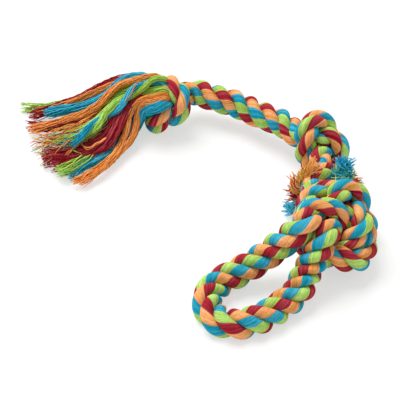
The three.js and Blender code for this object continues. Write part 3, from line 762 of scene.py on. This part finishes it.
# The tassel: the locks that the rope's end opens into, behind the collar of its knot. Each has its bundles.
LOCKS = {
    "tassel_orange_1": [
        bundle(["orange"], 30, 0.0024, [
            [-0.75, 5.1, 1.4], [-0.95, 4.85, 1.75], [-1.3, 4.75, 1.7], [-1.7, 4.85, 1.55], [-2.1, 4.75, 1.3],
            [-2.3, 4.4, 1.05], [-2.35, 4.05, 0.8], [-2.5, 3.65, 0.5], [-2.7, 3.1, 0.4], [-3.0, 2.6, 0.35],
            [-3.4, 2.1, 0.35], [-4.3, 1.45, 0.3],
        ], flare=0.1),
        bundle(["orange"], 30, 0.0024, [
            [-0.75, 5.0, 1.4], [-0.95, 4.65, 1.7], [-1.3, 4.6, 1.6], [-1.6, 4.7, 1.45], [-1.9, 4.7, 1.15],
            [-2.0, 4.3, 0.75], [-2.15, 3.85, 0.5], [-2.45, 3.4, 0.35], [-2.8, 2.9, 0.3], [-3.15, 2.35, 0.3],
            [-3.5, 1.95, 0.3], [-4.05, 1.4, 0.25],
        ], flare=0.1),
    ],
    "tassel_orange_2": [
        bundle(["orange"], 34, 0.0030, [
            [-0.7, 5.6, 1.4], [-1.05, 5.8, 1.75], [-1.3, 5.95, 1.8], [-1.65, 5.95, 1.75], [-2.0, 5.95, 1.65],
            [-2.65, 5.95, 1.4], [-3.1, 5.65, 1.15], [-3.5, 5.3, 0.9], [-4.4, 4.95, 0.6], [-6.15, 4.5, 0.35],
        ]),
        bundle(["orange"], 20, 0.0023, [
            [-0.8, 5.6, 1.0], [-1.5, 6.05, 1.5], [-2.2, 6.35, 1.35], [-2.85, 6.4, 1.15], [-3.45, 6.25, 0.95],
            [-4.25, 6.0, 0.7], [-5.0, 5.85, 0.45], [-6.0, 5.65, 0.3],
        ]),
    ],
    "tassel_orange_3": [
        bundle(["orange", "maroon", "orange", "blue"], 34, 0.006, [
            [-0.95, 5.15, 0.8], [-1.5, 5.5, 1.1], [-1.9, 5.55, 1.0], [-2.65, 5.0, 0.7], [-3.4, 4.3, 0.5],
            [-4.1, 3.85, 0.4], [-4.85, 3.55, 0.3], [-5.65, 3.6, 0.2],
        ], ragged=0.25, stray=0.004),
        bundle(["orange", "maroon", "lime", "orange", "blue"], 34, 0.006, [
            [-0.95, 5.15, 0.8], [-1.6, 5.5, 1.1], [-2.25, 5.4, 1.0], [-3.05, 5.2, 0.7], [-3.85, 4.7, 0.5],
            [-4.65, 4.25, 0.35], [-5.55, 3.95, 0.25], [-6.05, 3.9, 0.2],
        ], ragged=0.25, stray=0.004),
        bundle(["orange"], 2, 0.0006, [
            [-2.9, 3.7, 0.75], [-3.4, 3.15, 0.8], [-3.8, 2.95, 0.7], [-4.1, 3.35, 0.65], [-4.3, 3.1, 0.6],
            [-4.55, 2.7, 0.6], [-4.75, 2.6, 0.5],
        ], thick=0.0005),
        bundle(["orange"], 1, 0.0, [
            [-1.55, 5.5, 1.95], [-1.9, 5.3, 2.05], [-2.1, 4.95, 1.97], [-2.25, 4.65, 1.83],
            [-2.5, 4.35, 1.57],
        ], thick=0.0),
        bundle(["orange", "maroon", "lime", "blue", "orange"], 60, 0.0085, [
            [-0.95, 5.15, 0.8], [-1.6, 5.3, 1.15], [-2.3, 5.0, 1.05], [-3.0, 4.3, 0.85], [-3.7, 3.85, 0.7],
            [-4.4, 3.5, 0.55], [-5.1, 3.2, 0.4], [-5.75, 3.05, 0.3],
        ], ragged=0.35, stray=0.006, fine=0.65),
    ],
    "tassel_blue_1": [
        bundle(["blue"], 52, 0.0045, [
            [-0.75, 4.9, 1.35], [-0.95, 4.45, 1.6], [-1.2, 4.35, 1.55], [-1.5, 4.45, 1.35], [-1.8, 4.6, 1.0],
            [-2.15, 4.3, 0.5], [-2.7, 3.5, 0.3], [-3.4, 2.8, 0.3], [-4.0, 2.4, 0.3], [-4.5, 1.9, 0.2],
        ]),
    ],
    "tassel_blue_2": [
        bundle([colour], 26, 0.0021, [
            [-0.7, 5.5, 1.5], [-0.9, 5.5, 1.85], [-1.2, 5.5, 1.95], [-1.5, 5.4, 1.97], [-1.75, 5.25, 1.9],
            [-2.05, 5.1, 1.78], [-2.4, 4.75, 1.64], [-2.8, 4.4, 1.45], [-3.2, 4.2, 1.25], [-3.6, 3.75, 1.07],
            [-4.05, 3.4, 0.9], [-4.5, 3.25, 0.7],
        ], thick=0.0021, coil=(0.0022, 0.046, start), ragged=0.08, flare=0.9)
        for colour, start in (("blue", 0.35), ("lime", 0.85))
    ],
    "tassel_blue_3": [
        bundle(["blue"], 44, 0.0038, [
            [-0.75, 5.7, 1.2], [-1.2, 5.9, 1.6], [-1.5, 6.0, 1.65], [-1.9, 6.15, 1.65], [-2.35, 6.25, 1.5],
            [-2.75, 6.15, 1.3], [-3.05, 5.9, 1.05], [-3.7, 5.55, 0.85], [-4.45, 5.45, 0.65],
            [-5.6, 5.35, 0.5],
        ], flare=0.1, ragged=0.05),
    ],
    "tassel_maroon_1": [
        bundle(["maroon"], 74, 0.0035, [
            [-0.9, 5.2, 1.0], [-1.75, 5.1, 1.45], [-2.25, 4.75, 1.3], [-2.55, 4.15, 1.1], [-2.8, 3.65, 0.85],
            [-3.15, 3.25, 0.6], [-3.8, 2.85, 0.45], [-4.5, 2.5, 0.4], [-5.15, 2.5, 0.35],
        ], flare=1.1, ragged=0.07, stray=0.0018),
    ],
    "tassel_maroon_2": [
        bundle(["maroon"], 40, 0.0042, [
            [-0.8, 5.6, 1.0], [-1.6, 6.2, 1.35], [-2.2, 6.55, 1.25], [-2.75, 6.7, 1.05], [-3.35, 6.6, 0.85],
            [-4.2, 6.25, 0.55], [-5.0, 5.9, 0.4], [-6.2, 5.45, 0.3],
        ]),
        bundle(["maroon"], 30, 0.0038, [
            [-0.95, 5.15, 0.8], [-1.7, 5.85, 1.1], [-2.3, 5.75, 0.95], [-2.95, 5.5, 0.65], [-3.8, 5.05, 0.45],
            [-4.95, 4.75, 0.35], [-6.25, 4.8, 0.3],
        ]),
    ],
    "tassel_maroon_3": [
        bundle(["maroon"], 74, 0.0035, [
            [-0.9, 5.2, 1.0], [-1.75, 5.15, 1.4], [-2.4, 4.85, 1.25], [-2.75, 4.35, 1.05], [-3.0, 3.85, 0.8],
            [-3.4, 3.5, 0.55], [-4.05, 3.2, 0.4], [-4.8, 2.95, 0.35], [-5.5, 2.85, 0.3],
        ], flare=1.1, ragged=0.07, stray=0.0018),
    ],
    "tassel_lime_1": [
        bundle(["lime"], 50, 0.0032, [
            [-0.95, 5.15, 0.8], [-1.5, 5.45, 0.8], [-1.95, 5.15, 0.6], [-2.4, 4.6, 0.4], [-3.0, 3.8, 0.3],
            [-3.7, 2.85, 0.38], [-4.25, 2.25, 0.42], [-4.85, 1.85, 0.42],
        ], flare=0.5, ragged=0.07, stray=0.0018),
        bundle(["lime", "orange", "blue", "maroon"], 28, 0.007, [
            [-0.95, 5.15, 0.8], [-1.6, 5.4, 0.9], [-2.35, 5.2, 0.8], [-2.7, 4.45, 0.5], [-3.05, 3.55, 0.35],
            [-3.4, 3.0, 0.3], [-3.9, 2.8, 0.35], [-4.45, 2.85, 0.4],
        ], ragged=0.3, stray=0.004),
    ],
    "tassel_lime_2": [
        bundle(["lime"], 46, 0.0040, [
            [-0.7, 5.25, 1.4], [-0.95, 5.2, 1.68], [-1.25, 5.15, 1.68], [-1.6, 5.2, 1.6], [-2.0, 5.2, 1.45],
            [-2.55, 5.3, 1.15], [-3.0, 5.1, 0.85], [-3.6, 4.6, 0.6], [-4.3, 4.15, 0.4], [-5.1, 3.75, 0.3],
        ]),
        bundle(["lime"], 26, 0.0032, [
            [-0.8, 5.5, 1.2], [-1.7, 5.5, 1.4], [-2.25, 5.85, 1.25], [-2.8, 5.75, 1.0], [-3.25, 5.45, 0.8],
            [-3.6, 5.2, 0.6], [-4.0, 4.9, 0.45],
        ]),
    ],
    "tassel_lime_3": [
        bundle(["lime"], 32, 0.0035, [
            [-0.8, 5.6, 1.0], [-1.7, 6.3, 1.1], [-2.45, 6.6, 0.8], [-3.35, 6.6, 0.5], [-4.4, 6.35, 0.3],
            [-5.5, 6.15, 0.2], [-6.55, 6.1, 0.2],
        ]),
    ],
}
for name, bundles in LOCKS.items():
    lock = add_yarns(f"{name}_yarns", bundles, LOOSE_MATERIALS)
    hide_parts(name)
    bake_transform(lock)

# The tail: short tufts that the rope's other end opens into, behind the handle's knot. Each has its colours
# and the places it passes through.
TUFT_YARNS = 64
TUFT_RADIUS = 0.0036
TUFT_FLARE = 1.0
TUFT_RAGGED = 0.2
TUFT_STRAY = 0.0012
TUFTS = {
    "tail_orange_1": [
        ["orange"], [[4.55, 0.8, 0.7], [4.15, 0.45, 1.15], [4.25, 0.2, 1.7], [4.55, 0.15, 2.2]],
    ],
    "tail_orange_2": [
        ["orange", "orange", "lime"], [[4.5, 0.75, 0.6], [4.05, 0.4, 1.1], [4.15, 0.25, 1.75]],
    ],
    "tail_orange_3": [
        ["orange", "orange", "maroon"], [[4.5, 0.6, 0.5], [3.9, 0.45, 0.9], [3.85, 0.45, 1.45]],
    ],
    "tail_maroon_1": [["maroon", "orange"], [[4.4, 0.6, 0.3], [3.67, 0.75, 0.85]]],
    "tail_maroon_2": [["maroon", "orange", "maroon"], [[4.4, 0.4, 0.3], [3.57, 0.5, 0.6]]],
    "tail_blue_1": [["blue"], [[4.4, 0.2, 0.2], [3.42, -0.12, 0.4]]],
    "tail_blue_2": [["blue"], [[5.55, 0.6, 1.3], [5.4, 0.35, 2.3]]],
    "tail_blue_3": [["blue"], [[5.6, 0.6, 1.0], [5.65, 0.4, 2.15]]],
    "tail_lime_1": [["lime", "blue", "blue"], [[5.5, 0.38, 1.2], [5.35, 0.15, 1.9]]],
    "tail_lime_2": [["lime", "blue", "blue"], [[5.6, 0.5, 0.9], [5.7, 0.2, 1.8]]],
    "tail_maroon_3": [["maroon", "orange"], [[5.7, 0.6, 0.7], [6.01, 0.7, 1.2]]],
    "tail_lime_3": [["lime", "maroon"], [[5.6, 0.6, 0.4], [6.25, 0.7, 0.7]]],
}
for name, (colours, route) in TUFTS.items():
    rows = bundle(
        colours, TUFT_YARNS, TUFT_RADIUS, [TAIL_END, *route], thick=TUFT_RADIUS,
        flare=TUFT_FLARE, ragged=TUFT_RAGGED, stray=TUFT_STRAY,
    )
    tuft = add_yarns(f"{name}_yarns", [rows], TUFT_PAINTED_LIGHT_MATERIALS)
    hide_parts(name)
    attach(tuft, "handle_knot")

# White floor, an even sky and a soft sun from behind on the left.
FLOOR_HALF = 3.0
FLOOR_COLOUR = (0.985, 0.985, 0.985)
SKY_STRENGTH = 0.5
SUN_STRENGTH = 2.5
SHADOW_LIFT = 0.58  # share of plain white in the floor that the camera sees
SUN_SPREAD = 40.0  # degrees
SUN_PLACE = (-0.5, 0.6, 1.5)  # only its direction counts
floor_mesh = bpy.data.meshes.new("floor")
floor_corners = [(x * FLOOR_HALF, y * FLOOR_HALF, 0) for x, y in ((-1, -1), (1, -1), (1, 1), (-1, 1))]
floor_mesh.from_pydata(floor_corners, [], [(0, 1, 2, 3)])
floor = bpy.data.objects.new("floor", floor_mesh)
bpy.context.scene.collection.objects.link(floor)
floor_material = bpy.data.materials.new("floor")
floor_material.use_nodes = True
floor_shader = floor_material.node_tree.nodes["Principled BSDF"]
floor_shader.inputs["Base Color"].default_value = (*FLOOR_COLOUR, 1)
floor_shader.inputs["Roughness"].default_value = 1.0
floor_shader.inputs["Specular IOR Level"].default_value = 0.0
floor_nodes, floor_links = floor_material.node_tree.nodes, floor_material.node_tree.links
white = floor_nodes.new("ShaderNodeEmission")
ray = floor_nodes.new("ShaderNodeLightPath")
seen = ray.outputs["Is Camera Ray"]
for other in ("Is Glossy Ray", "Is Transmission Ray"):
    either = floor_nodes.new("ShaderNodeMath")
    either.operation = "MAXIMUM"
    floor_links.new(seen, either.inputs[0])
    floor_links.new(ray.outputs[other], either.inputs[1])
    seen = either.outputs["Value"]
lift = floor_nodes.new("ShaderNodeMath")
lift.operation = "MULTIPLY"
lift.inputs[1].default_value = SHADOW_LIFT
floor_links.new(seen, lift.inputs[0])
mixed = floor_nodes.new("ShaderNodeMixShader")
floor_links.new(lift.outputs["Value"], mixed.inputs["Fac"])
floor_links.new(floor_shader.outputs["BSDF"], mixed.inputs[1])
floor_links.new(white.outputs["Emission"], mixed.inputs[2])
floor_links.new(mixed.outputs["Shader"], floor_nodes["Material Output"].inputs["Surface"])
floor_mesh.materials.append(floor_material)

world = bpy.data.worlds.new("studio")
world.use_nodes = True
world.node_tree.nodes["Background"].inputs["Color"].default_value = (1, 1, 1, 1)
world.node_tree.nodes["Background"].inputs["Strength"].default_value = SKY_STRENGTH
bpy.context.scene.world = world

sun_data = bpy.data.lights.new("sun", "SUN")
sun_data.energy = SUN_STRENGTH
sun_data.angle = math.radians(SUN_SPREAD)
sun = bpy.data.objects.new("sun", sun_data)
sun.rotation_mode = "QUATERNION"
sun.rotation_quaternion = (-Vector(SUN_PLACE)).to_track_quat("-Z", "Y")
bpy.context.scene.collection.objects.link(sun)

camera_data = bpy.data.cameras.new("camera")
camera_data.angle = math.radians(CAMERA_ANGLE)
camera = bpy.data.objects.new("camera", camera_data)
camera.location = camera_place
camera.rotation_mode = "QUATERNION"
camera.rotation_quaternion = Vector(-camera_back).to_track_quat("-Z", "Y")
bpy.context.scene.collection.objects.link(camera)
bpy.context.scene.camera = camera
bpy.context.scene.view_settings.view_transform = "Standard"
